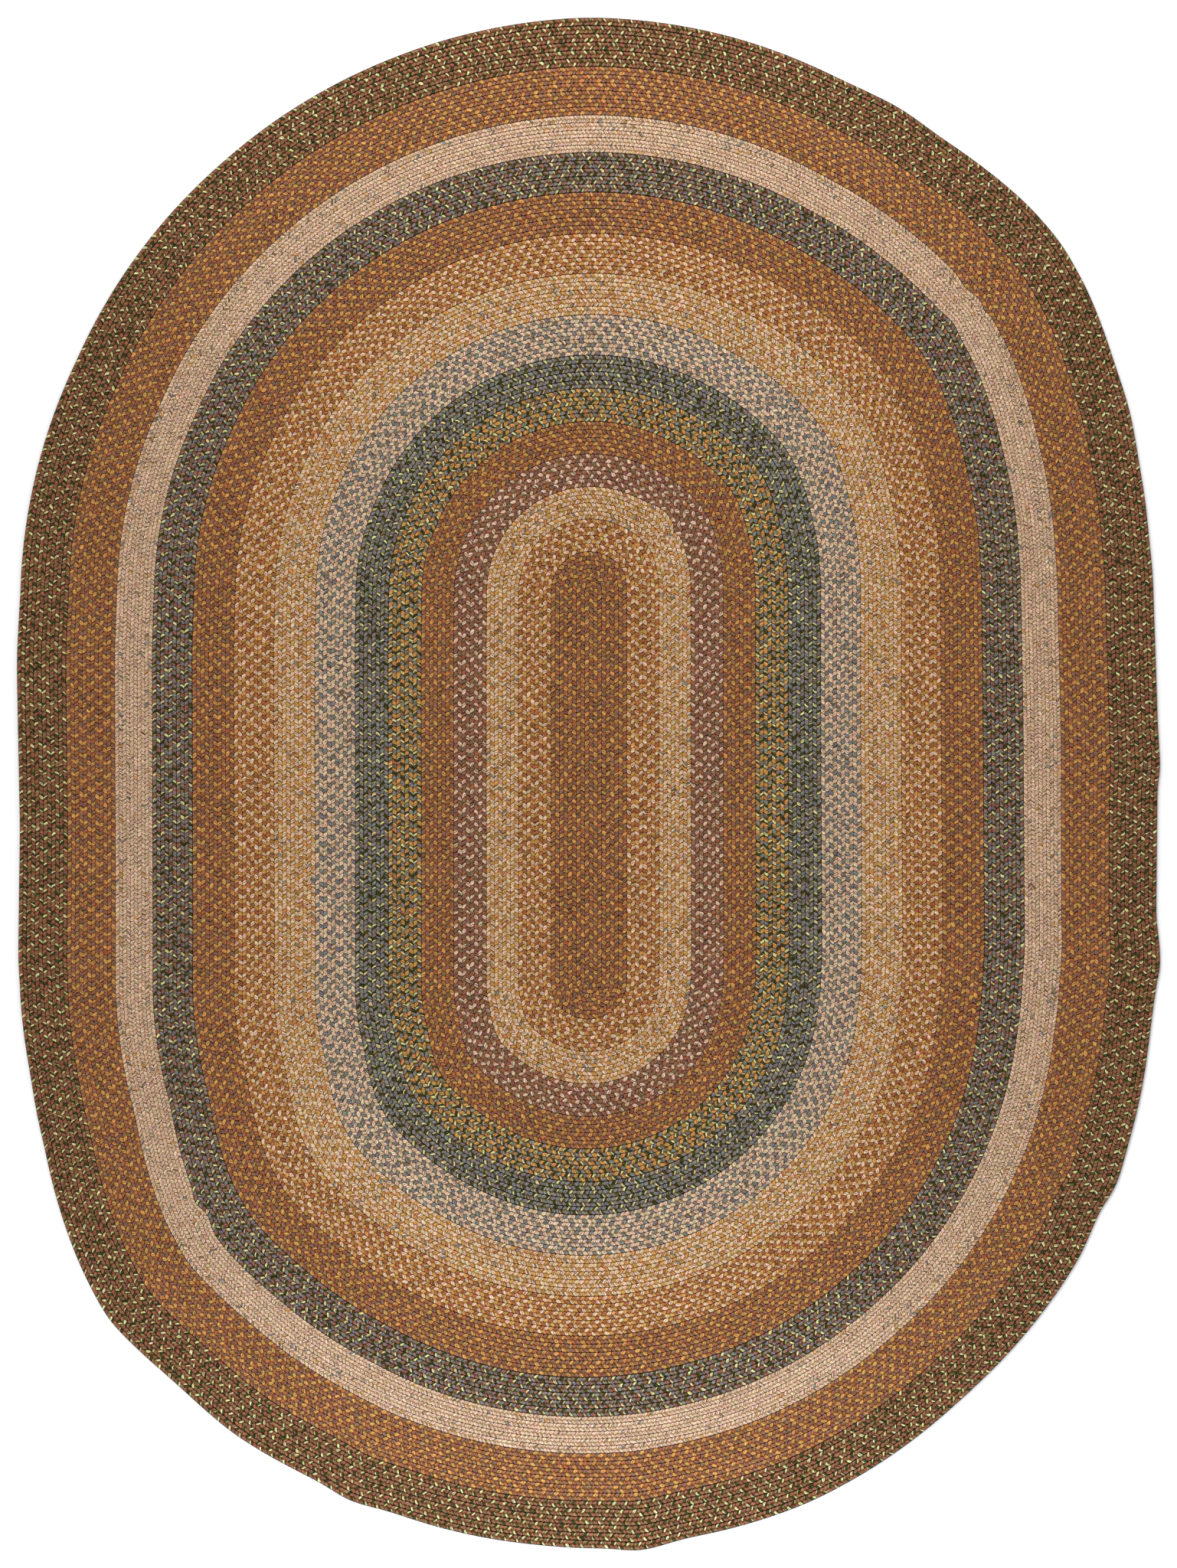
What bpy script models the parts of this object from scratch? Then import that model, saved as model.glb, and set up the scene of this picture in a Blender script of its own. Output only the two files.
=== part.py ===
"""A braided oval rug, lying flat.

One straight braid makes the middle, and row upon row of flat three-strand braid is laced
round it. The rows are grouped in fifteen bands, one for each mix of yarns, and a band is
one solid: a closed oval ring whose top rises to a crown along every row and falls to a
seam between two rows. A band's outline follows the one inside it, bulges included.
"""
import bmesh
import bpy
import numpy as np

# Driving sizes, in metres. The rug lies on z = 0 with its length along Y.
CORE_RUN = 0.935       # straight run of the middle braid, from turning point to turning point
CROWN_HEIGHT = 0.0108  # the top of a row, above the floor
SEAM_HEIGHT = 0.0070   # the groove where two rows are laced together
CLEARANCE = 0.0003     # between two neighbouring bands
WELD = 0.00001         # points nearer than this are one point

# Steps round the rug: each round end is a half turn, each side is straight.
END_STEPS = 20
SIDE_STEPS = 3

# The bands from the middle outwards. The middle band's rows are counted right across.
BANDS = (
    # name, rows, row pitch in mm, colour (linear red, green, blue)
    ("band_01_core", 9, 20.2, (0.235, 0.118, 0.060)),
    ("band_02_gold", 4, 19.4, (0.370, 0.205, 0.105)),
    ("band_03_tan", 4, 19.2, (0.455, 0.280, 0.150)),
    ("band_04_mauve", 4, 19.4, (0.215, 0.125, 0.085)),
    ("band_05_amber", 4, 19.4, (0.245, 0.122, 0.058)),
    ("band_06_olive", 4, 19.7, (0.225, 0.165, 0.085)),
    ("band_07_slate", 4, 19.7, (0.120, 0.110, 0.085)),
    ("band_08_grey", 5, 19.2, (0.360, 0.270, 0.185)),
    ("band_09_tan", 5, 19.6, (0.455, 0.280, 0.150)),
    ("band_10_gold", 5, 19.0, (0.370, 0.205, 0.105)),
    ("band_11_amber", 5, 19.8, (0.245, 0.122, 0.058)),
    ("band_12_lime_slate", 5, 19.0, (0.135, 0.115, 0.080)),
    ("band_13_beige", 5, 17.8, (0.560, 0.370, 0.245)),
    ("band_14_amber", 6, 19.1, (0.245, 0.122, 0.058)),
    ("band_15_rust", 6, 19.2, (0.170, 0.095, 0.055)),
)

# How far the rows stray outwards from an even oval. A lap runs clockwise from the top,
# measured along the row that lies LAP_REACH out from the middle braid.
LAP_REACH = 0.73
MID_REACH = 0.80
EDGE_REACH = 1.36
STRAY = (
    # percent of a lap, mm out at MID_REACH, mm out at EDGE_REACH
    (0.0, 5, 5),
    (6.0, 10, 6),
    (8.3, 19, 20),
    (10.6, 29, 37),
    (11.6, 26, 30),
    (14.3, 2, -2),
    (16.7, -6, -16),
    (22.5, -6, 0),
    (31.0, -2, 3),
    (33.5, -10, -11),
    (42.0, -6, -17),
    (50.0, 2, -1),
    (56.0, 9, 5),
    (58.8, 23, 20),
    (60.8, 37, 46),
    (62.0, 33, 34),
    (64.5, 4, 0),
    (69.0, 0, 3),
    (80.0, 2, 5),
    (87.0, -9, -16),
    (96.0, 0, -4),
    (100.0, 5, 5),
)


def remove_everything():
    """Empty the scene of objects."""
    for old in list(bpy.data.objects):
        bpy.data.objects.remove(old, do_unlink=True)


def round_the_core(step):
    """Where a step round the rug starts from: its heading clockwise from the top in
    radians, the y of its foot on the middle braid, and its share of a lap."""
    turns = np.cumsum([0, END_STEPS / 2, SIDE_STEPS, END_STEPS, SIDE_STEPS, END_STEPS / 2])
    heading = np.interp(step, turns, np.radians([0, 90, 90, 270, 270, 360]))
    foot = np.interp(step, turns, np.array([1, 1, -1, -1, 1, 1]) * CORE_RUN / 2)
    quarter = LAP_REACH * np.pi / 2
    run = np.cumsum([0, quarter, CORE_RUN, 2 * quarter, CORE_RUN, quarter])
    lap = np.interp(step, turns, run / run[-1])
    return heading, foot, lap


def stray(lap, reach):
    """Metres that a point lies outside the even oval: nothing at the middle braid, the
    table's first column at MID_REACH and its second at EDGE_REACH, straight between."""
    percent, at_mid, at_edge = np.array(STRAY).T
    mid = np.interp(lap * 100, percent, at_mid) / 1000
    edge = np.interp(lap * 100, percent, at_edge) / 1000
    outer = np.clip((reach - MID_REACH) / (EDGE_REACH - MID_REACH), 0, 1)
    inner = np.clip(reach / MID_REACH, 0, 1)
    return inner * mid + outer * (edge - mid)


def on_the_floor(step, reach):
    """x and y of the points that lie `reach` out from the middle braid."""
    heading, foot, lap = round_the_core(step)
    out = reach + stray(lap, reach)
    return np.stack([np.sin(heading) * out, foot + np.cos(heading) * out], axis=-1)


def yarn_material(name, colour):
    """Matt wool in the band's average colour."""
    material = bpy.data.materials.new(name)
    material.use_nodes = True
    shader = material.node_tree.nodes["Principled BSDF"]
    shader.inputs["Base Color"].default_value = (*colour, 1.0)
    shader.inputs["Roughness"].default_value = 0.95
    shader.inputs["Metallic"].default_value = 0.0
    return material


def band_mesh(name, inner, half_rows, pitch, centre):
    """A sheet with two strips for each row is bent into an oval ring, its points raised
    by turns to seam and crown, and walled and floored down to z = 0. The middle band
    has no inner reach: its first line of points is the crown of the middle braid."""
    is_core = inner == 0
    steps_round = 2 * (END_STEPS + SIDE_STEPS)
    body = bmesh.new()
    bmesh.ops.create_grid(body, x_segments=steps_round, y_segments=half_rows, size=1)
    corners = np.array([point.co[:2] for point in body.verts])
    step = np.round((corners[:, 0] + 1) / 2 * steps_round)
    line = np.round((corners[:, 1] + 1) / 2 * half_rows)

    first = 0 if is_core else inner + CLEARANCE / 2
    last = inner + half_rows * pitch / 2 - CLEARANCE / 2
    reach = np.clip(inner + line * pitch / 2, first, last)
    place = on_the_floor(step, reach) - centre
    on_crown = (line + is_core) % 2 == 1
    height = np.where(on_crown, CROWN_HEIGHT, SEAM_HEIGHT)
    for point, (x, y), z in zip(body.verts, place, height):
        point.co = (x, y, z)
    bmesh.ops.remove_doubles(body, verts=body.verts, dist=WELD)

    open_edges = [edge for edge in body.edges if edge.is_boundary]
    walls = bmesh.ops.extrude_edge_only(body, edges=open_edges)["geom"]
    for point in (part for part in walls if isinstance(part, bmesh.types.BMVert)):
        point.co.z = 0
    foot_edges = [part for part in walls if isinstance(part, bmesh.types.BMEdge) and part.is_boundary]
    if is_core:
        bmesh.ops.contextual_create(body, geom=foot_edges)
    else:
        bmesh.ops.bridge_loops(body, edges=foot_edges)
    bmesh.ops.recalc_face_normals(body, faces=body.faces)

    mesh = bpy.data.meshes.new(name)
    body.to_mesh(mesh)
    body.free()
    mesh.shade_smooth()
    mesh.set_sharp_from_angle(angle=np.radians(40))
    return mesh


def make_rug():
    """The bands, each laid round the last, on one empty at the rug's centre."""
    home = bpy.data.collections.new("braided_rug")
    bpy.context.scene.collection.children.link(home)
    rug = bpy.data.objects.new("rug_centre", None)
    home.objects.link(rug)

    steps = np.arange(2 * (END_STEPS + SIDE_STEPS))
    half_counts = [rows if number == 0 else 2 * rows for number, (_, rows, _, _) in enumerate(BANDS)]
    widths = [half * pitch / 2000 for half, (_, _, pitch, _) in zip(half_counts, BANDS)]
    outline = on_the_floor(steps, sum(widths) - CLEARANCE / 2)
    centre = (outline.min(axis=0) + outline.max(axis=0)) / 2

    inner = 0.0
    for (name, _, pitch, colour), half_rows, width in zip(BANDS, half_counts, widths):
        band = bpy.data.objects.new(name, band_mesh(name, inner, half_rows, pitch / 1000, centre))
        band.data.materials.append(yarn_material(name, colour))
        band.parent = rug
        home.objects.link(band)
        inner += width


remove_everything()
make_rug()
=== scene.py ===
import bpy
import numpy as np
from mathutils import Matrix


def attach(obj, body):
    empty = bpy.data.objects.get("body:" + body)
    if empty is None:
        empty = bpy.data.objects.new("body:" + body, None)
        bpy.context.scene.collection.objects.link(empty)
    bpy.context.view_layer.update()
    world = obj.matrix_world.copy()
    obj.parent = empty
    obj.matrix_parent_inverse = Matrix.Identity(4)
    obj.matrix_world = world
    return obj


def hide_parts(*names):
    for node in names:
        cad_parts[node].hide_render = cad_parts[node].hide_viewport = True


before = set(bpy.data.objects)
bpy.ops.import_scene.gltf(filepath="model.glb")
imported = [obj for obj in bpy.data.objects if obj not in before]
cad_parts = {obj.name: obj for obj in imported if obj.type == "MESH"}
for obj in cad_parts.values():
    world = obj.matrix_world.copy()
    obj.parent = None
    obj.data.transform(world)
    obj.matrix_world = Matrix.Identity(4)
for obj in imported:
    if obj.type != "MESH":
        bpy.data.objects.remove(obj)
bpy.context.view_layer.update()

# ---------------------------------------------------------------------------------------
# Band 1, the core: a flat braid of three wool strands runs up the middle, turns back on
# itself, goes once round and tapers out over its own turn. Three closed rows of the same
# braid are laced round it, edge to edge, with a thread that doesn't show.
# ---------------------------------------------------------------------------------------

CORE_RUN = 0.935     # straight run of the middle braid, from turning point to turning point
LAP_REACH = 0.73     # a lap is measured along the row that lies this far from the middle
MID_REACH = 0.80
EDGE_REACH = 1.36
CLEARANCE = 0.0003   # between two neighbouring bands
STRAY = (
    # percent of a lap clockwise from the top, mm out at MID_REACH, mm out at EDGE_REACH
    (0.0, 5, 5),
    (6.0, 10, 6),
    (8.3, 19, 20),
    (10.6, 29, 37),
    (11.6, 26, 30),
    (14.3, 2, -2),
    (16.7, -6, -16),
    (22.5, -6, 0),
    (31.0, -2, 3),
    (33.5, -10, -11),
    (42.0, -6, -17),
    (50.0, 2, -1),
    (56.0, 9, 5),
    (58.8, 23, 20),
    (60.8, 37, 46),
    (62.0, 33, 34),
    (64.5, 4, 0),
    (69.0, 0, 3),
    (80.0, 2, 5),
    (87.0, -9, -16),
    (96.0, 0, -4),
    (100.0, 5, 5),
)
RIM_REACH = 1.10     # outside this the rows also follow the rim's own small bumps
RIM_BUMPS = (
    # percent of a lap clockwise from the top, mm further out at EDGE_REACH
    (0.0, 4),
    (3.0, 0),
    (5.2, -5),
    (6.4, 3),
    (7.4, -5),
    (9.6, 6),
    (13.2, -4),
    (14.2, 2),
    (15.2, -4),
    (17.6, 2),
    (22.6, -1),
    (24.3, 5),
    (25.1, -2),
    (29.8, -7),
    (31.8, 7),
    (32.8, -4),
    (35.6, -1),
    (36.5, 6),
    (37.0, -9),
    (38.0, 0),
    (41.5, -5),
    (45.5, 3),
    (48.1, -3),
    (49.0, 13),
    (49.6, -1),
    (51.0, -6),
    (54.1, -8),
    (54.9, 6),
    (55.5, -4),
    (57.5, 3),
    (59.3, -5),
    (61.0, 0),
    (64.6, 0),
    (65.9, -7),
    (68.5, 2),
    (73.5, -3),
    (79.0, 3),
    (92.0, -4),
    (100.0, 4),
)
JOINS = (
    # kinks where a length of braid was joined on, each a smooth bump in the rows near it:
    # percent of a lap, half its length in percent, mm from the middle braid, mm out
    (8.5, 1.2, 245, 9),
    (11.0, 0.4, 245, -9),
    (10.6, 0.25, 1045, 6),
    (10.1, 0.2, 1130, -7),
    (10.8, 0.08, 1130, -6),
    (61.5, 0.2, 1040, -7),
    (62.0, 0.15, 1040, 6),
)
JOIN_ACROSS = 30     # mm inwards and outwards over which a join fades
EASE = 0.22          # percent of a lap over which a row bends where a table has a corner
STATIONS = 2000      # places round a lap at which the tables are read

station = np.arange(STATIONS) / STATIONS
bell = np.exp(-0.5 * ((station - 0.5) * 100 / EASE) ** 2)
bell = np.fft.fft(np.fft.ifftshift(bell / bell.sum()))
percent, at_mid, at_edge = np.array(STRAY).T
at_rim = np.interp(station * 100, *np.array(RIM_BUMPS).T)
at_mid, at_edge = (np.interp(station * 100, percent, column) for column in (at_mid, at_edge))
mid_stray, edge_stray, rim_stray = (
    np.fft.ifft(np.fft.fft(column) * bell).real / 1000 for column in (at_mid, at_edge, at_rim)
)


def stray(lap, reach):
    """Metres that a point lies outside the even oval: nothing at the middle braid, the
    table's first column at MID_REACH and its second at EDGE_REACH, straight between. The
    rim's bumps are added, from nothing at RIM_REACH, and so are the kinks of the joins."""
    mid, edge, rim = (
        np.interp(lap, station, column, period=1) for column in (mid_stray, edge_stray, rim_stray)
    )
    outer = np.clip((reach - MID_REACH) / (EDGE_REACH - MID_REACH), 0, 1)
    inner = np.clip(reach / MID_REACH, 0, 1)
    outermost = np.clip((reach - RIM_REACH) / (EDGE_REACH - RIM_REACH), 0, 1)
    out = inner * mid + outer * (edge - mid) + outermost * rim
    for at, length, joined, bump in JOINS:
        along = np.exp(-0.5 * ((lap * 100 - at) / length) ** 2)
        across = np.exp(-0.5 * ((reach * 1000 - joined) / JOIN_ACROSS) ** 2)
        out = out + bump / 1000 * along * across
    return out


def on_the_floor(lap, reach):
    """x and y of points `reach` out from the middle braid. A share of a lap gives the
    heading, clockwise from the top, and the foot on the middle braid: half turns at both
    ends and straight sides between. The point lies on the heading, at reach plus stray."""
    quarter = LAP_REACH * np.pi / 2
    run = np.cumsum([0, quarter, CORE_RUN, 2 * quarter, CORE_RUN, quarter])
    heading = np.interp(lap, run / run[-1], np.radians([0, 90, 90, 270, 270, 360]))
    foot = np.interp(lap, run / run[-1], np.array([1, 1, -1, -1, 1, 1]) * CORE_RUN / 2)
    out = reach + stray(lap, reach)
    return np.stack([np.sin(heading) * out, foot + np.cos(heading) * out], axis=-1)


outline = on_the_floor(station, EDGE_REACH)
RUG_CENTRE = (outline.min(axis=0) + outline.max(axis=0)) / 2

# One row of braid, across: places over the half width, and heights on a lobe's crest and in
# the groove beside it. A lobe on one side of the row lies between two on the other.
ACROSS = np.array([-1.0, -0.56, 0.0, 0.56, 1.0])
CREST = np.array([0.0084, 0.0107, 0.0087, 0.0107, 0.0084])
GROOVE = np.array([0.0074, 0.0091, 0.0080, 0.0091, 0.0074])
ODD_LINES = np.array([1, 1, 0, 0, 0])   # 1 where the lobes crest on odd lines
LEAN = np.array([0.46, 0.20, 0.0, 0.20, 0.46])   # lobe lengths that a lobe falls back
ZIGZAG = 0.12        # half widths that the line between the two sides swings
PRESSED = 0.015      # half widths that a lobe's end is pressed into the next row
UNEVEN = 0.07        # lobe lengths that a point strays along the braid
UNEVEN_HEIGHT = 0.0002   # metres that it strays up or down
WANDER = 0.07        # lobe lengths by which the steps between two lines differ
WANDER_MOST = 2      # times that, at most
FREE_LINES = 4       # lines from an open end at which the lean is full
UNDER = ((0.0, 0.0),)    # place across and height of each line below
UNDER_RIM = ((0.90, 0.0016), (0.5, 0.0), (-0.5, 0.0), (-0.90, 0.0016))   # of the last row
TOP_SHARE = 0.8      # of a row's strip on the UV map; the rest is its underside
SHARP = 80           # degrees between two faces, from which their edge isn't smoothed
BRAID_MAP = "OFBake"
luck = np.random.default_rng(12)


def braid(inner, outer, lobe, closed=True, under=UNDER):
    """A row of flat braid between two edge lines: its points, each corner's point, U and V,
    and the number of corners of each face. Grid line i lies i/2 lobes along the middle of
    the row from a chance start, and wanders a little, less the lean at its distance from
    that middle, so that the lines run as the lobes do, back from the middle to both edges.
    Heights swing between crest and groove from line to line, in turn on the two sides.
    Below, half as many lines close the row. U counts lobes, and V goes from 0 to 1 across
    the top and back below."""
    middle = (inner + outer) / 2
    run = np.concatenate([[0], np.cumsum(np.linalg.norm(np.diff(middle, axis=0), axis=1))])
    lobes = int(round(run[-1] / lobe))
    lines = 2 * lobes + (not closed)
    start = luck.random() * closed
    wander = np.cumsum(WANDER * np.clip(luck.normal(size=lines + 1), -WANDER_MOST, WANDER_MOST))
    wander -= np.linspace(wander[0], wander[-1], lines + 1)

    def lay(line, across):
        """Points on the floor, for lines along and places across the row."""
        free = 1.0 if closed else np.clip(np.minimum(line, lines - 1 - line) / FREE_LINES, 0, 1)
        back = np.interp(across, ACROSS, LEAN) + luck.normal(0, UNEVEN, across.shape)
        at = start + line / 2 + np.interp(line, np.arange(lines + 1), wander) - back * free
        along = at / lobes * run[-1]
        along = along % run[-1] if closed else np.clip(along, 0, run[-1])
        at_inner, at_outer = (
            np.stack([np.interp(along, run, edge[:, axis]) for axis in (0, 1)], axis=-1)
            for edge in (inner, outer)
        )
        share = ((across + 1) / 2)[..., None]
        return at_inner * (1 - share) + at_outer * share

    # The top's points, then the underside's.
    line = np.arange(lines)[:, None]
    on_crest = (line + ODD_LINES) % 2 == 0
    pressed = np.where((np.abs(ACROSS) == 1) & on_crest, 1 + PRESSED, 1)
    swing = np.where(line % 2 == 1, ZIGZAG, -ZIGZAG) * (ACROSS == 0)
    top = lay(line + 0 * ACROSS, ACROSS * pressed + swing)
    uneven = luck.normal(0, UNEVEN_HEIGHT, top.shape[:2])
    top = np.dstack([top, np.where(on_crest, CREST, GROOVE) + uneven])
    foot_line = np.arange(0, lines, 2)[:, None]
    foot_across, foot_height = np.array(under).T
    below = lay(foot_line + 0 * foot_across, foot_across + 0 * foot_line)
    below = np.dstack([below, foot_height + 0 * foot_line])
    points = np.concatenate([top.reshape(-1, 3), below.reshape(-1, 3)])

    width, depth = len(ACROSS), len(under)
    feet = len(foot_line)

    def on_top(i, j, v=None):
        """Corners at the top's line i and place j: point, U and V."""
        v = (ACROSS[j] + 1) / 2 * TOP_SHARE if v is None else v
        return np.stack(np.broadcast_arrays(i % lines * width + j, i / 2, v), axis=-1)

    def on_foot(k, j):
        """Corners at the underside's line k and place j: point, U and V."""
        v = TOP_SHARE + (1 - foot_across[j]) / 2 * (1 - TOP_SHARE)
        return np.stack(np.broadcast_arrays(lines * width + k % feet * depth + j, k, v), axis=-1)

    def sheet_of(corner, last_line, last_place):
        """Four-cornered faces between every two lines and places."""
        i = np.arange(last_line)[:, None]
        j = np.arange(last_place)
        return np.stack([corner(i, j), corner(i + 1, j), corner(i + 1, j + 1), corner(i, j + 1)], axis=-2)

    # Top and underside, then a strip of triangles down each edge, then an open row's ends.
    faces = [sheet_of(on_top, 2 * lobes, width - 1), sheet_of(on_foot, lobes, depth - 1)]
    k = np.arange(lobes)
    for edge, v, near, turn in ((width - 1, TOP_SHARE, 0, 1), (0, 1.0, depth - 1, -1)):
        rim = [on_top(2 * k + step, edge, v) for step in range(3)]
        foot = [on_foot(k + step, near) for step in range(2)]
        for three in ((rim[0], rim[1], foot[0]), (rim[1], rim[2], foot[1]), (rim[1], foot[1], foot[0])):
            faces.append(np.stack(three[::turn], axis=-2))
    if not closed:
        for i, k, turn in ((0, 0, 1), (lines - 1, lobes, -1)):
            ring = [on_top(i, j) for j in range(width)] + [on_foot(k, j) for j in range(depth)]
            faces.append(np.stack(ring[::turn])[None])

    faces = [part.reshape(-1, part.shape[-2], 3) for part in faces]
    corners = np.concatenate([part.reshape(-1, 3) for part in faces])
    sizes = np.concatenate([np.full(len(part), part.shape[1]) for part in faces])
    return points, corners, sizes


DENSE = 6000         # points along an edge line, on which the lobes are then counted out


def closed_rows(reach, rows, pitch, lobe, rim=False):
    """Closed rows of braid side by side, from `reach` outwards and a pitch apart. The first
    and the last edge draw back by half the clearance."""
    lap = np.linspace(0, 1, DENSE + 1)
    edge = reach + np.arange(rows + 1) * pitch
    edge[[0, -1]] += CLEARANCE / 2, -CLEARANCE / 2
    lines = [on_the_floor(lap, out) for out in edge]
    under = [UNDER] * (rows - 1) + [UNDER_RIM if rim else UNDER]
    return [braid(*two, lobe, under=feet) for *two, feet in zip(lines, lines[1:], under)]


def lace(name, rows, tile):
    """Rows of braid as one mesh. On the UV map each row has a strip of its own, begun at a
    chance strand, and `tile` lobes by all the rows fill the map once."""
    first = np.cumsum([0] + [len(points) for points, _, _ in rows])
    points = np.concatenate([points for points, _, _ in rows])
    points[:, :2] -= RUG_CENTRE
    offset = [(start, -luck.integers(1, tile), row) for row, start in enumerate(first[:-1])]
    corners = np.concatenate([corners + move for (_, corners, _), move in zip(rows, offset)])
    sizes = np.concatenate([sizes for _, _, sizes in rows])
    uv = corners[:, 1:] / [tile, len(rows)]

    mesh = bpy.data.meshes.new(name)
    mesh.vertices.add(len(points))
    mesh.vertices.foreach_set("co", points.astype(np.float32).ravel())
    mesh.loops.add(len(corners))
    mesh.loops.foreach_set("vertex_index", corners[:, 0].astype(np.int32))
    mesh.polygons.add(len(sizes))
    mesh.polygons.foreach_set("loop_start", (np.cumsum(sizes) - sizes).astype(np.int32))
    mesh.update(calc_edges=True)
    mesh.shade_smooth()
    mesh.set_sharp_from_angle(angle=np.radians(SHARP))
    mesh.uv_layers.new(name=BRAID_MAP).uv.foreach_set("vector", uv.astype(np.float32).ravel())
    piece = bpy.data.objects.new(name, mesh)
    bpy.context.scene.collection.objects.link(piece)
    return piece


class Shade:
    """A value in a material's nodes. Arithmetic on it adds Math nodes."""

    def __init__(self, tree, socket=None):
        self.tree = tree
        self.socket = socket

    def node(self, kind, settings=(), inputs=(), output=0):
        """Adds a node of any kind: its settings first, then its inputs' values or links."""
        made = self.tree.nodes.new("ShaderNode" + kind)
        for name, value in dict(settings).items():
            if name == "stops":
                made.color_ramp.interpolation = "CONSTANT"
                stops = made.color_ramp.elements
                stops.remove(stops[-1])
                for number, (at, colour) in enumerate(value):
                    stop = stops.new(at) if number else stops[0]
                    stop.position = at
                    stop.color = (*colour, 1)
            else:
                setattr(made, name, value)
        for name, value in dict(inputs).items():
            if isinstance(value, Shade):
                self.tree.links.new(value.socket, made.inputs[name])
            else:
                made.inputs[name].default_value = value
        return Shade(self.tree, made.outputs[output])

    def beside(self, output):
        """Another output of the node that this value comes from."""
        return Shade(self.tree, self.socket.node.outputs[output])

    def math(self, operation, *values):
        return self.node("Math", {"operation": operation}, enumerate(values))

    def __add__(self, other):
        return self.math("ADD", self, other)

    def __radd__(self, other):
        return self.math("ADD", other, self)

    def __sub__(self, other):
        return self.math("SUBTRACT", self, other)

    def __rsub__(self, other):
        return self.math("SUBTRACT", other, self)

    def __mul__(self, other):
        return self.math("MULTIPLY", self, other)

    def __rmul__(self, other):
        return self.math("MULTIPLY", other, self)

    def __truediv__(self, other):
        return self.math("DIVIDE", self, other)

    def __lt__(self, other):
        return self.math("LESS_THAN", self, other)

    def __gt__(self, other):
        return self.math("GREATER_THAN", self, other)

    def __abs__(self):
        return self.math("ABSOLUTE", self)

    def floor(self):
        return self.math("FLOOR", self)

    def rise(self, low, high):
        """0 below low and 1 above high, with an S between."""
        inputs = {"Value": self, "From Min": low, "From Max": high}
        return self.node("MapRange", {"interpolation_type": "SMOOTHSTEP"}, inputs)

    def mix(self, first, second):
        """A colour between two, by this value."""
        return self.node("Mix", {"data_type": "RGBA"}, {0: self, 6: first, 7: second}, output=2)

    def pick(self, colours):
        """One of some colours, each with an equal share of 0 to 1."""
        stops = [(number / len(colours), colour) for number, colour in enumerate(colours)]
        return self.node("ValToRGB", {"stops": stops}, {0: self})

    def channels(self):
        """A colour's three channels."""
        red = self.node("SeparateColor", {}, {0: self})
        return red, red.beside(1), red.beside(2)


def dye(red, green, blue):
    """A linear colour from its sRGB bytes. Each, as a share of 255, is divided by 12.92 if
    it is very dark, and else 0.055 is added, the sum divided by 1.055 and raised to 2.4."""
    part = np.array([red, green, blue]) / 255
    return tuple(np.where(part <= 0.04045, part / 12.92, ((part + 0.055) / 1.055) ** 2.4))


STRANDS = 3                 # of a braid

# A strand's twist, in turns.
TWIST = 0.75                # that show across a lobe
TWIST_OUT = 0.12            # from the row's middle to its edge
TWIST_OVER = 0.5            # from one side of the row to the other
TWIST_STRANDS = 2.3         # over the three strands
TWIST_DRIFT = 3             # by which it drifts along the braid
TWIST_LUCK = 0.3            # by which a lobe strays

# Plies, counted in tenths, because a ramp's colours end at 1.
TENTHS = 10
PLY_LEAN = 0.7              # plies by which a slit leans from the row's middle to its edge
PLY_LUCK = 0.8              # plies by which a lobe's slits stray

# Noise: lots of wool along a row, and hairs along a ply.
LOTS = 0.05                 # lots to a lobe
LOTS_ROWS = 3.7             # lots between two rows
HAIRS = 3                   # hairs across a lobe
HAIRS_OUT = 1.5             # hairs from the row's middle to its edge
HAIRS_LOBES = 5.3           # hairs between two lobes
HAIRS_ROWS = 41.7           # hairs between two rows
HAIR_TINT = 0.24            # how far a hair's own colour shifts the strand's
HAIR_PLAIN = 0.88           # the strand's colour is multiplied by this at least

# A lobe's outline. Distances are in half lobes from its crest and half rows from its middle,
# each to the power ROUND, and their sum is 1 at the outline.
ROUND = 2.5
SLIM = 0.92                 # times the distance from the crest
SLIM_PLIES = 0.4            # and more of it for ten plies
SLIM_OUT = 0.16             # and more at the row's edge
SLIM_LUCK = 0.16            # and less by chance
FULLEST = 0.52              # half rows from the row's middle, where a lobe is fullest
NARROW = 1.75               # times the distance from there

# Painted shade in the hollows. Each starts and is full at two distances. Its strength is a
# part for ten plies, a part that is always there, and a part by chance.
OUTLINE = (0.42, 0.95)
OUTLINE_PLIES = 0.3
OUTLINE_DARK = 0.58
OUTLINE_LUCK = 0.3
SEAM = (0.85, 0.99)         # half rows from the row's middle
SEAM_PLIES = 1.2
SEAM_DARK = 0.64
MIDDLE = (0.74, 1.0)        # half rows from the row's edge
MIDDLE_PLIES = 1.2
MIDDLE_DARK = 0.46
SLIT = (0.2, 0.9)           # half plies from a ply's middle
SLIT_IN = (0.05, 0.3)       # half rows from the row's middle
SLIT_OUT = (0.7, 0.85)
SLIT_PLIES = 1.5
SLIT_DARK = 0.05
SLIT_LUCK = 0.5

# At the rug's round ends, where rows lie across the rug, the painted shade between and along
# them is wider, most of all beside a lobe's ends, and the wool is painted lighter.
END_GAPE = 0.09             # half rows
END_MIDDLE = 0.1            # times that at a lobe's crest
END_TIPS = 1.8              # times that more at its ends
END_SEAM = 0.8              # of it at the seam
END_OUTLINE = 0.12          # by which the outlines' painted shade is weaker there
END_LIGHT = 0.10            # by which the wool is painted lighter there
END_NEAR = 0.4              # of all this shows near the middle braid
END_FAR = 0.6               # and more of it for each metre outwards

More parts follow.
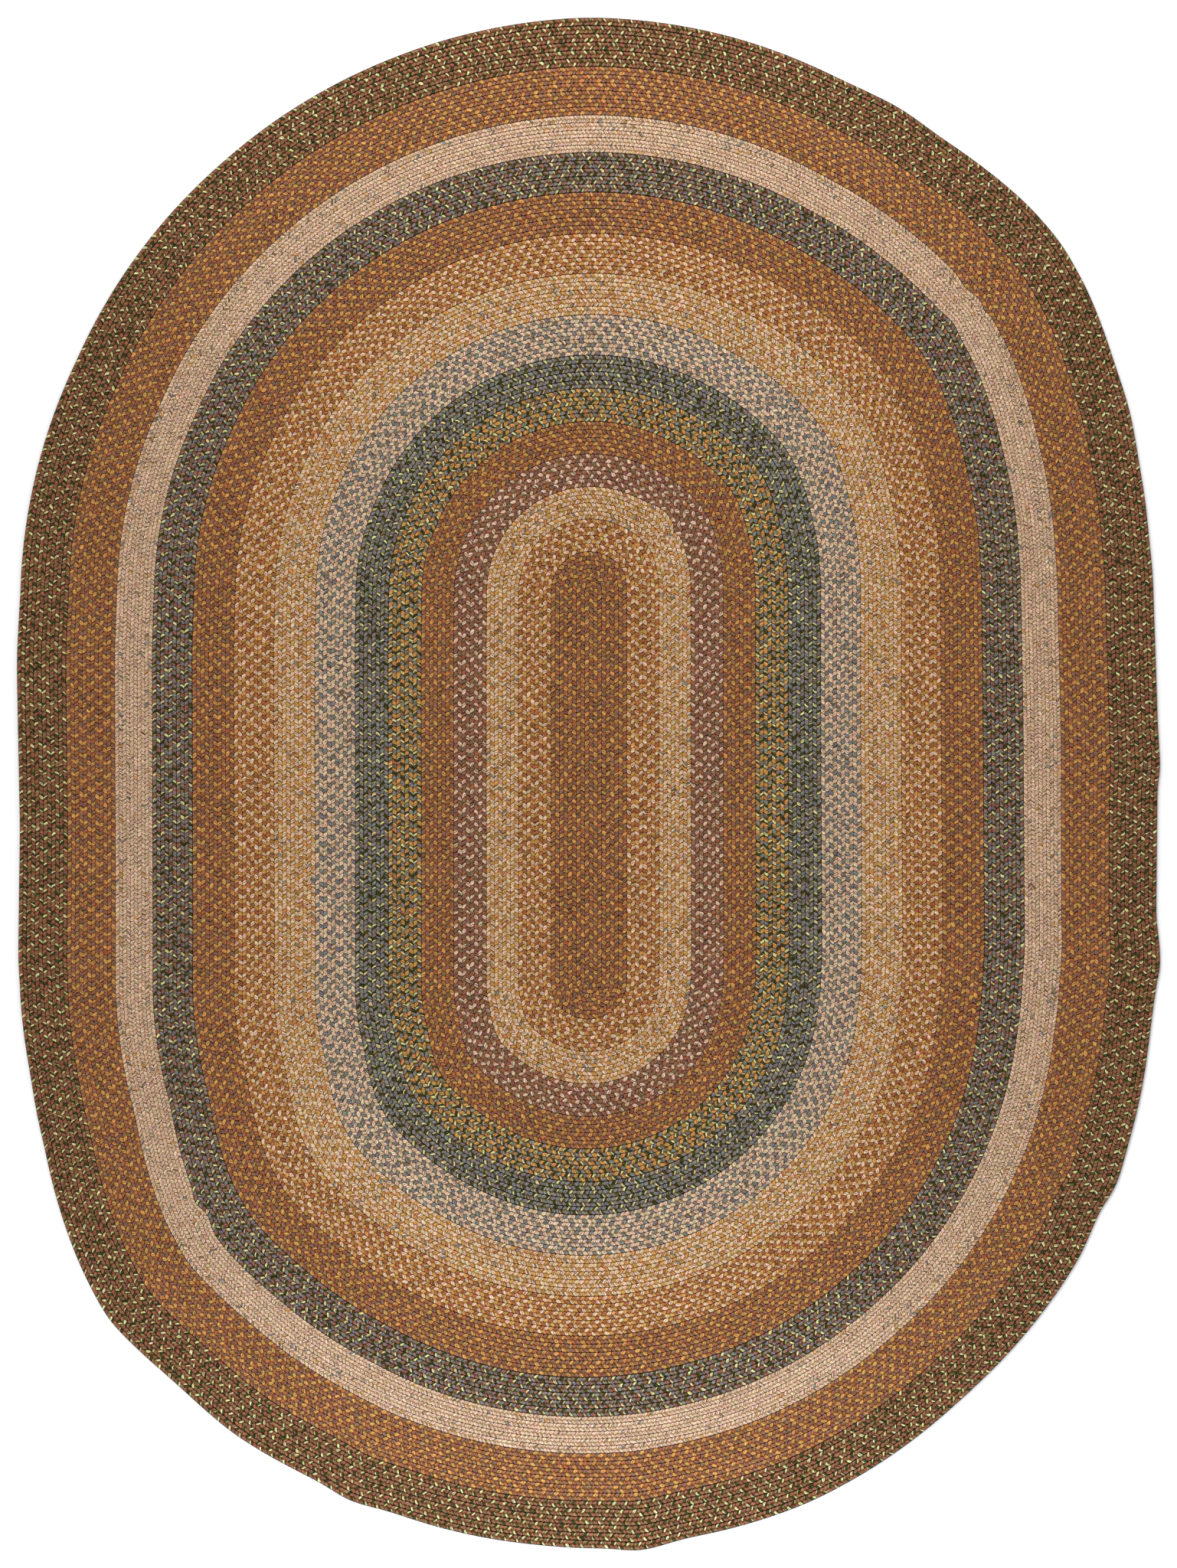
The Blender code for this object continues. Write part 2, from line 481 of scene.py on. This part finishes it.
# Light and surface.
GAP = 0.94                  # of the red light is lost in the deepest hollow
DEEPER = (1.0, 1.28, 1.8)   # powers of the light in red, green and blue, so dark is deep in colour
LOT_LIGHT = 0.15            # by which lots, plies and hairs differ in light
PLY_LIGHT = 0.2
HAIR_LIGHT = 1.1
HAIR_RELIEF = 0.3           # beside an outline's relief of 1
SLIT_RELIEF = 0.3
RELIEF = 0.0005             # metres
RELIEF_STRENGTH = 0.5
ROUGH = 0.84                # and up to ROUGH_HAIR more
ROUGH_HAIR = 0.16
GLOSS = 0.05


def wool(name, strands, tile, flecks, fleck_share, seed, gape=0.0):
    """Three strands of plied wool, braided. On the braid's UV map a lobe is one long, and
    lobes alternate between the row's two sides, so lobe number n shows strand n modulo 3.
    A lobe is a drop, full towards the row's middle and slim at its edge. Shade is painted
    dark round its outline, in the slits between its plies, along the seam beside it and
    along the row's middle. `gape` widens those last two, and so do the rug's round ends: by
    the square of the y of the heading from the middle braid, and more further out; there
    the wool is also painted lighter and its outlines' painted shade is weaker. A strand is
    twisted from two colours: three quarters of a turn show across a lobe, the row's other
    side is half a turn on, and the turn drifts along the braid. A strand has its two
    colours, the share of the second, how much a lobe's colour strays and how many plies
    show side by side. Here and there a ply is a fleck, with a share for each row."""
    material = bpy.data.materials.new(name)
    material.use_nodes = True
    shader = material.node_tree.nodes["Principled BSDF"]
    wool = Shade(material.node_tree)

    # Where a point lies: in which row, on which side of it, in which lobe and strand.
    place = wool.node("UVMap", {"uv_map": BRAID_MAP})
    place = wool.node("SeparateXYZ", {}, {0: place})
    along = place * tile
    strip = place.beside(1) * len(fleck_share)
    row = strip.floor()
    over = strip - row
    above = over * (2 / TOP_SHARE) - 1
    below = 1 - (over - TOP_SHARE) * (2 / (1 - TOP_SHARE))
    across = wool.math("MINIMUM", above, below)
    outer_side = across > 0.0
    out = abs(across)
    count = along + outer_side * 0.5
    pair = count.floor()
    in_lobe = count - pair
    lobe = pair * 2 - outer_side
    # A row may begin at a lobe below 0, so whole rounds of strands are added.
    strand = wool.math("MODULO", lobe + 2 * STRANDS * tile, STRANDS) / STRANDS + 0.5 / STRANDS

    def chance(number, *where):
        """Three even random numbers for a place. Each wool has noises of its own."""
        where = wool.node("CombineXYZ", {}, enumerate(where))
        noise = {"Vector": where, "W": number + 10.0 * seed}
        return wool.node("TexWhiteNoise", {"noise_dimensions": "4D"}, noise, output=1)

    # The strand's two colours, turning as it is twisted.
    patch = wool.node("CombineXYZ", {}, {0: along * LOTS, 1: row * LOTS_ROWS})
    lots = wool.node("TexNoise", {"noise_dimensions": "2D"}, {"Vector": patch, "Scale": 1.0})
    lobe_luck = chance(1, lobe, row)
    wide, loose, tone = lobe_luck.channels()
    first = strand.pick([strand[0] for strand in strands])
    second = strand.pick([strand[1] for strand in strands])
    columns = [(share, strays, plies / TENTHS) for _, _, share, strays, plies in strands]
    share, strays, plies = strand.pick(columns).channels()
    turn = in_lobe * TWIST + out * TWIST_OUT + outer_side * TWIST_OVER + strand * TWIST_STRANDS
    turn = turn + lots * TWIST_DRIFT + loose * TWIST_LUCK
    colour = (wool.math("FRACT", turn) < share).mix(first, second)

    # Its plies: here and there one is a fleck, each lobe strays in colour, and so do hairs.
    ply_at = in_lobe * plies * TENTHS + (out - 0.5) * PLY_LEAN + (loose - 0.5) * PLY_LUCK
    ply = ply_at.floor()
    ply_luck = chance(2, lobe, row, ply)
    fleck, which, shine = ply_luck.channels()
    row_share, _, _ = place.beside(1).pick([3 * (value,) for value in fleck_share]).channels()
    colour = (fleck < row_share).mix(colour, which.pick(flecks))
    tint = wool.node("VectorMath", {"operation": "SUBTRACT"}, {0: lobe_luck, 1: (0.5, 0.5, 0.5)})
    tint = wool.node("VectorMath", {"operation": "SCALE"}, {0: tint, "Scale": strays})
    tint = wool.node("VectorMath", {"operation": "ADD"}, {0: tint, 1: (1.0, 1.0, 1.0)})
    colour = wool.node("VectorMath", {"operation": "MULTIPLY"}, {0: colour, 1: tint})
    hair_at = in_lobe * HAIRS + lobe * HAIRS_LOBES + row * HAIRS_ROWS
    hair_at = wool.node("CombineXYZ", {}, {0: hair_at, 1: out * HAIRS_OUT})
    hair = wool.node("TexNoise", {"noise_dimensions": "2D"}, {"Vector": hair_at, "Scale": 1.0})
    tint = {0: hair.beside(1), 1: 3 * (HAIR_TINT,), 2: 3 * (HAIR_PLAIN,)}
    tint = wool.node("VectorMath", {"operation": "MULTIPLY_ADD"}, tint)
    colour = wool.node("VectorMath", {"operation": "MULTIPLY"}, {0: colour, 1: tint})

    # How far a point is at the rug's round ends: 0 along the sides. There the wool is painted lighter and
    # its painted shade is wider.
    spot = wool.node("TexCoord", {}, {}, output="Object")
    spot = wool.node("SeparateXYZ", {}, {0: spot})
    beyond = wool.math("MAXIMUM", abs(spot.beside(1)) - CORE_RUN / 2, 0.0)
    heading = wool.node("CombineXYZ", {}, {0: spot, 1: beyond})
    from_foot = wool.node("VectorMath", {"operation": "LENGTH"}, {0: heading}, output=1)
    heading = wool.node("VectorMath", {"operation": "NORMALIZE"}, {0: heading})
    upward = wool.node("SeparateXYZ", {}, {0: heading}, output=1)
    end = upward * upward * (from_foot * END_FAR + END_NEAR)

    # Painted shade in the hollows, and the light that is left, painted lighter at the round ends.
    from_crest = abs(in_lobe * 2 - 1)
    slimmer = SLIM + plies * SLIM_PLIES + out * SLIM_OUT - wide * SLIM_LUCK
    lengthwise = wool.math("POWER", from_crest * slimmer, ROUND)
    crosswise = wool.math("POWER", abs(out - FULLEST) * NARROW, ROUND)
    strength = plies * OUTLINE_PLIES + OUTLINE_DARK + tone * OUTLINE_LUCK - end * END_OUTLINE
    outline = (lengthwise + crosswise).rise(*OUTLINE) * strength
    wider = end * END_GAPE * (from_crest * END_TIPS + END_MIDDLE)
    seam = (out + wider * END_SEAM + gape).rise(*SEAM) * (plies * SEAM_PLIES + SEAM_DARK)
    middle = (1 - out + wider + gape).rise(*MIDDLE) * (plies * MIDDLE_PLIES + MIDDLE_DARK)
    slit = abs((ply_at - ply) * 2 - 1).rise(*SLIT) * out.rise(*SLIT_IN) * (1 - out.rise(*SLIT_OUT))
    slit_shade = slit * (plies * SLIT_PLIES + SLIT_DARK + tone * SLIT_LUCK)
    # painted shade: the darkest of the outline, the slits between plies, and the seam and middle lines
    hollow_shade = wool.math("MAXIMUM", outline, slit_shade)
    hollow_shade = wool.math("MAXIMUM", hollow_shade, seam + middle)
    # painted light: the wool is lighter at the round ends, and lots, plies and hairs differ at random
    light = 1.0 + end * END_LIGHT + (lots - 0.5) * LOT_LIGHT
    light = light + (shine - 0.5) * PLY_LIGHT + (hair - 0.5) * HAIR_LIGHT
    light = light * (1 - hollow_shade * GAP)
    light = wool.node("VectorMath", {"operation": "POWER"}, {0: light, 1: DEEPER})
    colour = wool.node("VectorMath", {"operation": "MULTIPLY"}, {0: colour, 1: light})

    # Relief and roughness.
    relief = hair * HAIR_RELIEF - outline - slit * SLIT_RELIEF
    bump = {"Strength": RELIEF_STRENGTH, "Distance": RELIEF, "Height": relief}
    relief = wool.node("Bump", {}, bump)
    links = material.node_tree.links
    links.new(colour.socket, shader.inputs["Base Color"])
    links.new((ROUGH + hair * ROUGH_HAIR).socket, shader.inputs["Roughness"])
    links.new(relief.socket, shader.inputs["Normal"])
    shader.inputs["Specular IOR Level"].default_value = GLOSS
    return material


GOLD = dye(206, 152, 92)
MUSTARD = dye(193, 151, 88)
RUST_BROWN = dye(171, 112, 74)
MAUVE_BROWN = dye(152, 107, 93)
GREY_BROWN = dye(136, 116, 94)
TERRACOTTA = dye(186, 118, 80)
AMBER_WOOL = (
    # first colour, second colour, share of the second, how much the colour strays, plies
    (GOLD, MUSTARD, 0.5, 0.16, 2),
    (RUST_BROWN, MAUVE_BROWN, 0.3, 0.2, 3),
    (MAUVE_BROWN, GREY_BROWN, 0.25, 0.2, 3),
)
AMBER_FLECKS = (GREY_BROWN, TERRACOTTA)
SMALL_TILE = 30      # lobes to one width of the UV map, on the inner bands
LARGE_TILE = 60      # and on the outer ones

START = 0.8          # half widths below the lower foot, where the middle braid starts
BLUNT = 0.98         # how round its start is: 1 is a half circle
TAPER_END = 0.42     # half turns from the top to where it ends, over its own turn
THIN = 0.002         # metres wide at its end
HUB = 0.001          # metres from its turning point to its inner edge
UP_STEPS = 1500      # points of an edge line on the way up, round the turn and on the taper
TURN_STEPS = 120
TAPER_STEPS = 400


def middle_braid(pitch):
    """The edge lines, right and left, of the braid that starts the rug. It starts blunt
    below the lower foot, runs up the middle, turns right round the point half a pitch
    beside the upper foot, and goes down the right side, round the bottom and up the left,
    one pitch from the middle. Over the top it narrows to nothing between its own turn,
    a circle seen from the foot along each ray, and the row outside it."""
    half = pitch / 2
    foot = np.array([0, CORE_RUN / 2])
    up = np.linspace(-foot[1] - START * half, foot[1], UP_STEPS)
    blunt = half * np.sqrt(1 - BLUNT * np.clip(1 - (up - up[0]) / half, 0, 1) ** 2)
    turn = np.linspace(0, np.pi, TURN_STEPS)[1:]
    swing = np.stack([-np.cos(turn), np.sin(turn)], axis=-1)
    beside_foot = foot + [half, 0]
    lap = np.linspace(0, 1, DENSE + 1)
    quarter = LAP_REACH * np.pi / 2 / (2 * np.pi * LAP_REACH + 2 * CORE_RUN)
    lap = lap[(lap > quarter) & (lap < 1 - quarter)]
    heading = np.linspace(-0.5 * np.pi, TAPER_END * np.pi, TAPER_STEPS)[1:]
    ray = np.stack([np.sin(heading), np.cos(heading)], axis=-1)
    own_turn = half * ray[:, 0] + np.sqrt((half * ray[:, 0]) ** 2 - half**2 + pitch**2)
    own_turn = np.minimum(own_turn, 1.5 * pitch - THIN)
    left = [
        np.stack([-blunt, up], axis=-1),
        beside_foot + swing * pitch,
        on_the_floor(lap, 1.5 * pitch),
        foot + ray * 1.5 * pitch,
    ]
    right = [
        np.stack([blunt, up], axis=-1),
        beside_foot + swing * HUB,
        on_the_floor(lap, 0.5 * pitch),
        foot + ray * own_turn[:, None],
    ]
    return np.concatenate(right), np.concatenate(left)


pitch = 0.0202       # metres from row to row
lobe = 0.0108        # metres from lobe to lobe along one side of a row
rows = 4             # outside the middle: its own turn and three closed rows
core = [braid(*middle_braid(pitch), lobe, closed=False)]
core = lace("band_01_core_braid", core + closed_rows(1.5 * pitch, rows - 1, pitch, lobe), SMALL_TILE)
amber = wool("amber_core", AMBER_WOOL, SMALL_TILE, AMBER_FLECKS, fleck_share=[0.03] * rows, seed=1)
core.data.materials.append(amber)
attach(core, "root")
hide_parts("band_01_core")
reach = (rows + 0.5) * pitch   # half the middle braid, its own turn and the closed rows

# ---------------------------------------------------------------------------------------
# Band 2: four closed rows with one strand of pink-beige, one of gold and one of
# rust-brown wool, laced round the core.
# ---------------------------------------------------------------------------------------

PINK_BEIGE = dye(224, 191, 168)
BEIGE = dye(218, 191, 158)
GOLD_WOOL = (
    (PINK_BEIGE, BEIGE, 0.2, 0.12, 2),
    (GOLD, MUSTARD, 0.5, 0.16, 2),
    (RUST_BROWN, TERRACOTTA, 0.2, 0.2, 3),
)


def laced_on(node, reach, rows, pitch, lobe, tile, material, rim=False):
    """Closed rows laced round what lies inside `reach`, as the piece that stands for its
    node. Flat, it is a strip as wide as its rows and as long as their middle goes round.
    Gives the reach of its outer edge."""
    piece = lace(node + "_braid", closed_rows(reach, rows, pitch, lobe, rim), tile)
    piece.data.materials.append(material)
    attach(piece, "root")
    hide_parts(node)
    width = rows * pitch
    return reach + width


gold = wool("gold_inner", GOLD_WOOL, SMALL_TILE, AMBER_FLECKS, fleck_share=[0.02] * 4, seed=2)
reach = laced_on(
    "band_02_gold", reach,
    rows=4, pitch=0.0194, lobe=0.01075, tile=SMALL_TILE, material=gold,
)

# ---------------------------------------------------------------------------------------
# Band 3: four closed rows in pink-beige, beige and gold wool, with blue-grey flecks that
# were spun in.
# ---------------------------------------------------------------------------------------

BLUE_GREY = dye(128, 130, 130)
TAN_WOOL = (
    (PINK_BEIGE, BEIGE, 0.3, 0.12, 2),
    (GOLD, MUSTARD, 0.5, 0.16, 2),
    (BEIGE, PINK_BEIGE, 0.3, 0.12, 2),
)
TAN_FLECKS = (BLUE_GREY, TERRACOTTA, RUST_BROWN)

tan = wool("tan_inner", TAN_WOOL, SMALL_TILE, TAN_FLECKS, fleck_share=[0.06] * 4, seed=3)
reach = laced_on(
    "band_03_tan", reach,
    rows=4, pitch=0.0192, lobe=0.0107, tile=SMALL_TILE, material=tan,
)

# ---------------------------------------------------------------------------------------
# Band 4: four closed rows in mauve-brown and rust-brown wool, with a strand of pale pink
# that shows as a light lobe in every three.
# ---------------------------------------------------------------------------------------

PALE_PINK = dye(223, 194, 176)
MAUVE_WOOL = (
    (PALE_PINK, GREY_BROWN, 0.15, 0.12, 2),
    (MAUVE_BROWN, GREY_BROWN, 0.4, 0.2, 3),
    (MAUVE_BROWN, RUST_BROWN, 0.3, 0.2, 3),
)

mauve = wool("mauve", MAUVE_WOOL, SMALL_TILE, AMBER_FLECKS, fleck_share=[0.02] * 4, seed=4)
reach = laced_on(
    "band_04_mauve", reach,
    rows=4, pitch=0.0194, lobe=0.01077, tile=SMALL_TILE, material=mauve,
)

# ---------------------------------------------------------------------------------------
# Band 5: four closed rows of braid in the core's three strands, gold, rust-brown and
# mauve-brown, laced round band 4.
# ---------------------------------------------------------------------------------------

amber = wool("amber_inner", AMBER_WOOL, SMALL_TILE, AMBER_FLECKS, fleck_share=[0.03] * 4, seed=5)
reach = laced_on(
    "band_05_amber", reach,
    rows=4, pitch=0.0194, lobe=0.01077, tile=SMALL_TILE, material=amber,
)

# ---------------------------------------------------------------------------------------
# Band 6: four closed rows with one strand of gold, one of slate with grey-brown and one of
# dark green plied with lime.
# ---------------------------------------------------------------------------------------

SLATE = dye(137, 141, 143)
SLATE_PLUM = dye(134, 129, 134)
DARK_GREEN = dye(68, 69, 42)
LIME = dye(214, 210, 160)
OLIVE_WOOL = (
    (DARK_GREEN, LIME, 0.4, 0.2, 2),
    (SLATE, GREY_BROWN, 0.3, 0.2, 3),
    (GOLD, MUSTARD, 0.5, 0.16, 2),
)

olive = wool("olive", OLIVE_WOOL, SMALL_TILE, AMBER_FLECKS, fleck_share=[0.03] * 4, seed=6, gape=0.02)
reach = laced_on(
    "band_06_olive", reach,
    rows=4, pitch=0.0197, lobe=0.01075, tile=SMALL_TILE, material=olive,
)

# ---------------------------------------------------------------------------------------
# Band 7: four closed rows with two strands of slate wool plied with plum, and the dark
# green one with lime.
# ---------------------------------------------------------------------------------------

SLATE_WOOL = (
    (DARK_GREEN, LIME, 0.4, 0.2, 2),
    (SLATE, SLATE_PLUM, 0.4, 0.2, 3),
    (SLATE, SLATE_PLUM, 0.3, 0.2, 3),
)
SLATE_FLECKS = (GREY_BROWN, DARK_GREEN)

slate = wool("slate", SLATE_WOOL, SMALL_TILE, SLATE_FLECKS, fleck_share=[0.05] * 4, seed=7, gape=0.03)
reach = laced_on(
    "band_07_slate", reach,
    rows=4, pitch=0.0197, lobe=0.01082, tile=SMALL_TILE, material=slate,
)

# ---------------------------------------------------------------------------------------
# Band 8: five closed rows with two strands of pink-beige plied with pale grey, and one
# of slate.
# ---------------------------------------------------------------------------------------

PALE_GREY = dye(212, 196, 174)
GREY_WOOL = (
    (PINK_BEIGE, PALE_GREY, 0.5, 0.12, 2),
    (SLATE, SLATE_PLUM, 0.4, 0.2, 3),
    (PALE_GREY, PINK_BEIGE, 0.5, 0.12, 2),
)
GREY_FLECKS = (BLUE_GREY, GREY_BROWN)

grey = wool("grey", GREY_WOOL, SMALL_TILE, GREY_FLECKS, fleck_share=[0.03] * 5, seed=8)
reach = laced_on(
    "band_08_grey", reach,
    rows=5, pitch=0.0192, lobe=0.01066, tile=SMALL_TILE, material=grey,
)

# ---------------------------------------------------------------------------------------
# Band 9: five closed rows of braid in band 3's strands, pink-beige, gold and beige, laced
# round band 8.
# ---------------------------------------------------------------------------------------

tan = wool("tan_outer", TAN_WOOL, LARGE_TILE, TAN_FLECKS, fleck_share=[0.06] * 5, seed=9)
reach = laced_on(
    "band_09_tan", reach,
    rows=5, pitch=0.0196, lobe=0.01065, tile=LARGE_TILE, material=tan,
)

# ---------------------------------------------------------------------------------------
# Band 10: five closed rows of braid in band 2's strands, pink-beige, gold and rust-brown,
# laced round band 9.
# ---------------------------------------------------------------------------------------

gold = wool("gold_outer", GOLD_WOOL, LARGE_TILE, AMBER_FLECKS, fleck_share=[0.02] * 5, seed=10)
reach = laced_on(
    "band_10_gold", reach,
    rows=5, pitch=0.0190, lobe=0.01065, tile=LARGE_TILE, material=gold,
)

# ---------------------------------------------------------------------------------------
# Band 11: five closed rows of braid in the core's strands, gold, rust-brown and
# mauve-brown, laced round band 10.
# ---------------------------------------------------------------------------------------

amber = wool("amber_middle", AMBER_WOOL, LARGE_TILE, AMBER_FLECKS, fleck_share=[0.03] * 5, seed=11)
reach = laced_on(
    "band_11_amber", reach,
    rows=5, pitch=0.0198, lobe=0.01065, tile=LARGE_TILE, material=amber,
)

# ---------------------------------------------------------------------------------------
# Band 12: five closed rows with a strand of plum and slate, one of mauve-brown and plum,
# and one of dark green with lime.
# ---------------------------------------------------------------------------------------

LIME_SLATE_WOOL = (
    (DARK_GREEN, LIME, 0.4, 0.2, 2),
    (SLATE_PLUM, SLATE, 0.3, 0.2, 3),
    (MAUVE_BROWN, SLATE_PLUM, 0.35, 0.2, 3),
)
DARK_FLECKS = (MAUVE_BROWN, DARK_GREEN)

lime_slate = wool(
    "lime_slate", LIME_SLATE_WOOL, LARGE_TILE, DARK_FLECKS, fleck_share=[0.05] * 5, seed=12, gape=0.03
)
reach = laced_on(
    "band_12_lime_slate", reach,
    rows=5, pitch=0.0190, lobe=0.01066, tile=LARGE_TILE, material=lime_slate,
)

# ---------------------------------------------------------------------------------------
# Band 13: five narrower closed rows of plain beige wool. Flecks of grey, slate, gold and
# brown were spun in, most of them in its inner and outer rows.
# ---------------------------------------------------------------------------------------

PLAIN_BEIGE = dye(216, 188, 168)
BEIGE_WOOL = 3 * ((PLAIN_BEIGE, BEIGE, 0.15, 0.11, 2),)
BEIGE_FLECKS = (BLUE_GREY, GOLD, SLATE, MUSTARD, GREY_BROWN)
BEIGE_FLECK_SHARE = (0.05, 0.02, 0.01, 0.06, 0.10)   # of each row, from the inside

beige = wool("beige", BEIGE_WOOL, LARGE_TILE, BEIGE_FLECKS, BEIGE_FLECK_SHARE, seed=13)
reach = laced_on(
    "band_13_beige", reach,
    rows=5, pitch=0.0178, lobe=0.01057, tile=LARGE_TILE, material=beige,
)

# ---------------------------------------------------------------------------------------
# Band 14: six closed rows of braid in the core's strands, gold, rust-brown and
# mauve-brown, laced round the beige band.
# ---------------------------------------------------------------------------------------

amber = wool("amber_outer", AMBER_WOOL, LARGE_TILE, AMBER_FLECKS, fleck_share=[0.03] * 6, seed=14)
reach = laced_on(
    "band_14_amber", reach,
    rows=6, pitch=0.0191, lobe=0.01054, tile=LARGE_TILE, material=amber,
)

# ---------------------------------------------------------------------------------------
# Band 15, the rim: six closed rows with a strand of rust, one of brown and one of dark
# green with lime. The last row's underside is rounded, because its edge shows.
# ---------------------------------------------------------------------------------------

RUST = dye(158, 105, 84)
BROWN = dye(140, 113, 87)
RUST_WOOL = (
    (DARK_GREEN, LIME, 0.4, 0.2, 2),
    (RUST, BROWN, 0.4, 0.2, 3),
    (BROWN, RUST, 0.4, 0.2, 3),
)

rust = wool("rust", RUST_WOOL, LARGE_TILE, DARK_FLECKS, fleck_share=[0.04] * 6, seed=15, gape=0.03)
reach = laced_on(
    "band_15_rust", reach,
    rows=6, pitch=0.0192, lobe=0.0105, tile=LARGE_TILE, material=rust, rim=True,
)

# ---------------------------------------------------------------------------------------
# The floor: one plain white plane under the rug, wider than the picture. It isn't part of
# the rug.
# ---------------------------------------------------------------------------------------

FLOOR_SIZE = 40.0    # metres
FLOOR_ROUGH = 0.9
bpy.ops.mesh.primitive_plane_add(size=FLOOR_SIZE)
floor = bpy.context.object
floor.name = "floor"
pale = bpy.data.materials.new("pale_floor")
pale.use_nodes = True
pale.node_tree.nodes["Principled BSDF"].inputs["Base Color"].default_value = (1, 1, 1, 1)
pale.node_tree.nodes["Principled BSDF"].inputs["Roughness"].default_value = FLOOR_ROUGH
floor.data.materials.append(pale)

# ---------------------------------------------------------------------------------------
# Light: an even dome, one soft lamp from the upper left that models the braid, and a long
# low lamp beyond each end of the rug, where the photo is lighter. The lower one is cooler.
# ---------------------------------------------------------------------------------------

DOME = 0.66                   # strength of the white dome
world = bpy.data.worlds.new("studio")
world.use_nodes = True
world.node_tree.nodes["Background"].inputs["Color"].default_value = (1, 1, 1, 1)
world.node_tree.nodes["Background"].inputs["Strength"].default_value = DOME
bpy.context.scene.world = world

SOFT_LAMP = 1.55              # watts a square metre
SOFT_ACROSS = 30              # degrees
SOFT_TURN = (-38, -28, 0)     # degrees from straight down
lamp = bpy.data.lights.new("soft_lamp", "SUN")
lamp.energy = SOFT_LAMP
lamp.angle = np.radians(SOFT_ACROSS)
lamp = bpy.data.objects.new("soft_lamp", lamp)
lamp.rotation_euler = np.radians(SOFT_TURN)
bpy.context.scene.collection.objects.link(lamp)

LAMP_OUT = 2.1       # metres from the rug's centre to each end lamp
LAMP_UP = 0.9
LAMP_LENGTH = 3.0
LAMP_BREADTH = 0.3
END_LAMPS = (
    # end of the rug (1 is the upper), watts, colour
    (1, 10.0, (1.0, 1.0, 1.0)),
    (-1, 14.0, (0.88, 0.98, 1.08)),
)
for end, watts, colour in END_LAMPS:
    lamp = bpy.data.lights.new("end_lamp", "AREA")
    lamp.shape = "RECTANGLE"
    lamp.size = LAMP_LENGTH
    lamp.size_y = LAMP_BREADTH
    lamp.energy = watts
    lamp.color = colour
    lamp = bpy.data.objects.new("end_lamp", lamp)
    lamp.location = (0, end * LAMP_OUT, LAMP_UP)
    lamp.visible_camera = False
    bpy.context.scene.collection.objects.link(lamp)
bpy.context.scene.view_settings.view_transform = "Standard"

# ---------------------------------------------------------------------------------------
# Camera: straight above the rug's centre, with the rug's length up the picture. Each row
# of the picture's pixels covers 1.83 mm of rug.
# ---------------------------------------------------------------------------------------

PIXEL = 0.00183      # metres of rug
PIXEL_ROWS = 2048
LENS = 85.0          # millimetres
SENSOR = 36.0
VIEW_END = 100.0     # metres from the camera, past the floor's far edge
camera = bpy.data.cameras.new("above")
camera.sensor_fit = "VERTICAL"
camera.sensor_height = SENSOR
camera.lens = LENS
camera.clip_end = VIEW_END
camera = bpy.data.objects.new("above", camera)
camera.location = (0, 0, CREST.max() + PIXEL * PIXEL_ROWS * LENS / SENSOR)
bpy.context.scene.collection.objects.link(camera)
bpy.context.scene.camera = camera
